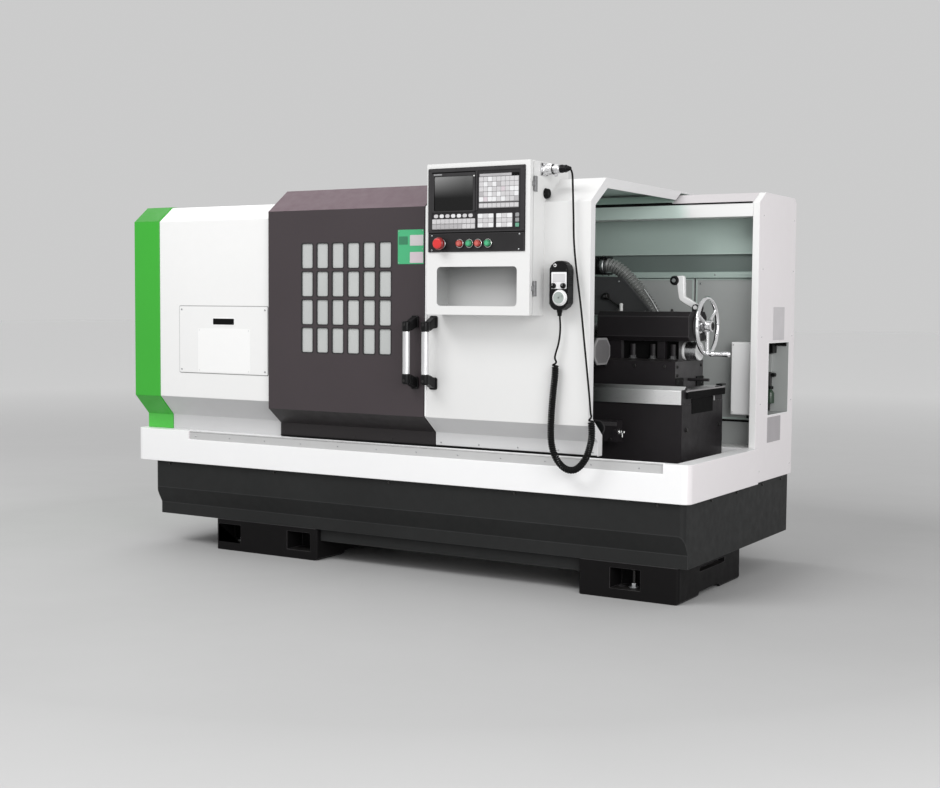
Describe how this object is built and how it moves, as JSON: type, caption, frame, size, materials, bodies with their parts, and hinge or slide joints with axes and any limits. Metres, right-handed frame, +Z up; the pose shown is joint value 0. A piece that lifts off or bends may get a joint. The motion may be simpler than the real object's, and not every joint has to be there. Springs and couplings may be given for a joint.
{
  "type": "cnc lathe",
  "caption": "Flat-bed turning machine with a chip tray on a dark base, two sliding hoods, a control box with a hanging pendant, and a tailstock with a handwheel.",
  "frame": {"origin": "under the middle of the outer box, on the floor, which the feet stand on", "axes": "+X along the spindle from headstock to tailstock, -Y towards the operator, +Z up"},
  "size_m": [2.76, 1.415, 1.67],
  "materials": {
    "base_paint": "satin",
    "cast_paint": "satin",
    "white_paint": "satin",
    "green_paint": "satin",
    "hood_dark": "satin",
    "interior_paint": "satin",
    "ground_steel": "brushed",
    "bright_parts": "polished",
    "rail_strip": "satin",
    "black_plastic": "matte",
    "black_rubber": "matte",
    "cover_grey": "matte",
    "window_glass": "clear",
    "screen_glass": "gloss",
    "panel_face": "matte",
    "red_plastic": "gloss",
    "green_plastic": "gloss"
  },
  "bodies": {
    "machine": {"base_skirt": "base_paint", "left_foot": "cast_paint", "right_foot": "cast_paint", "levelling_bolts": "bright_parts", "chip_tray": "white_paint", "door_rail": "rail_strip", "headstock_cover": "white_paint", "headstock_end_cap": "green_paint", "inspection_panel": "white_paint", "headstock": "cast_paint", "chuck": "ground_steel", "bed": "cast_paint", "bed_ways": "ground_steel", "bed_end_cap": "black_plastic", "carriage": "cast_paint", "turret": "cast_paint", "turret_cover": "cover_grey", "flexible_conduit": "black_plastic", "conduit_fittings": "black_plastic", "tailstock_base": "cast_paint", "tailstock_body": "cast_paint", "tailstock_quill": "ground_steel", "rear_cabinet": "white_paint", "top_beam": "white_paint", "right_wing": "white_paint", "back_wall": "interior_paint", "back_rail": "interior_paint", "electrical_box": "white_paint", "lubricator": "cover_grey"},
    "left_door": {"left_hood": "hood_dark", "left_hood_panes": "window_glass", "green_plate": "green_plastic", "left_handle": "black_plastic"},
    "right_door": {"right_hood": "white_paint", "control_box": "white_paint", "cable_connector": "ground_steel", "pendant_bracket": "ground_steel", "pendant_body": "black_plastic", "cord_upper": "black_rubber", "cord_coil": "black_rubber", "cord_lower": "black_rubber", "right_handle": "black_plastic"},
    "control_door": {"panel_door": "white_paint", "operator_panel": "panel_face", "screen": "screen_glass"},
    "emergency_stop": {"estop_button": "red_plastic"},
    "button_1": {"push_button_1": "red_plastic"},
    "button_2": {"push_button_2": "green_plastic"},
    "button_3": {"push_button_3": "red_plastic"},
    "button_4": {"push_button_4": "green_plastic"},
    "pulse_dial": {"pendant_dial": "bright_parts"},
    "tailstock_wheel": {"handwheel": "bright_parts"},
    "quill_lock": {"lock_lever": "bright_parts"},
    "tool_clamp": {"clamp_lever": "black_plastic"}
  },
  "joints": [
    {"name": "left_door_slide", "type": "slide", "parent": "machine", "child": "left_door", "axis": [-1, 0, 0], "range_m": [0, 0.63]},
    {"name": "right_door_slide", "type": "slide", "parent": "machine", "child": "right_door", "axis": [1, 0, 0], "range_m": [0, 0.37]},
    {"name": "control_door_hinge", "type": "hinge", "parent": "right_door", "child": "control_door", "pos_m": [0.794, -0.6395, 1.377], "axis": [0, 0, 1], "range_deg": [0, 95]},
    {"name": "emergency_stop_press", "type": "slide", "parent": "control_door", "child": "emergency_stop", "axis": [0, 1, 0], "range_m": [0, 0.004], "stiffness_N_per_m": 3000},
    {"name": "button_1_press", "type": "slide", "parent": "control_door", "child": "button_1", "axis": [0, 1, 0], "range_m": [0, 0.003], "stiffness_N_per_m": 900},
    {"name": "button_2_press", "type": "slide", "parent": "control_door", "child": "button_2", "axis": [0, 1, 0], "range_m": [0, 0.003], "stiffness_N_per_m": 900},
    {"name": "button_3_press", "type": "slide", "parent": "control_door", "child": "button_3", "axis": [0, 1, 0], "range_m": [0, 0.003], "stiffness_N_per_m": 900},
    {"name": "button_4_press", "type": "slide", "parent": "control_door", "child": "button_4", "axis": [0, 1, 0], "range_m": [0, 0.003], "stiffness_N_per_m": 900},
    {"name": "pulse_dial_turn", "type": "hinge", "parent": "right_door", "child": "pulse_dial", "pos_m": [0.886, -0.6125, 1.153], "axis": [0, 1, 0], "continuous": true},
    {"name": "tailstock_wheel_turn", "type": "hinge", "parent": "machine", "child": "tailstock_wheel", "pos_m": [1.246, -0.0225, 1.046], "axis": [1, 0, 0], "continuous": true},
    {"name": "quill_lock_turn", "type": "hinge", "parent": "machine", "child": "quill_lock", "pos_m": [1.204, -0.0225, 1.12], "axis": [0, 1, 0], "range_deg": [-15, 40]},
    {"name": "tool_clamp_turn", "type": "hinge", "parent": "machine", "child": "tool_clamp", "pos_m": [0.734, 0.1035, 1.165], "axis": [0, 1, 0], "range_deg": [-30, 30]}
  ]
}
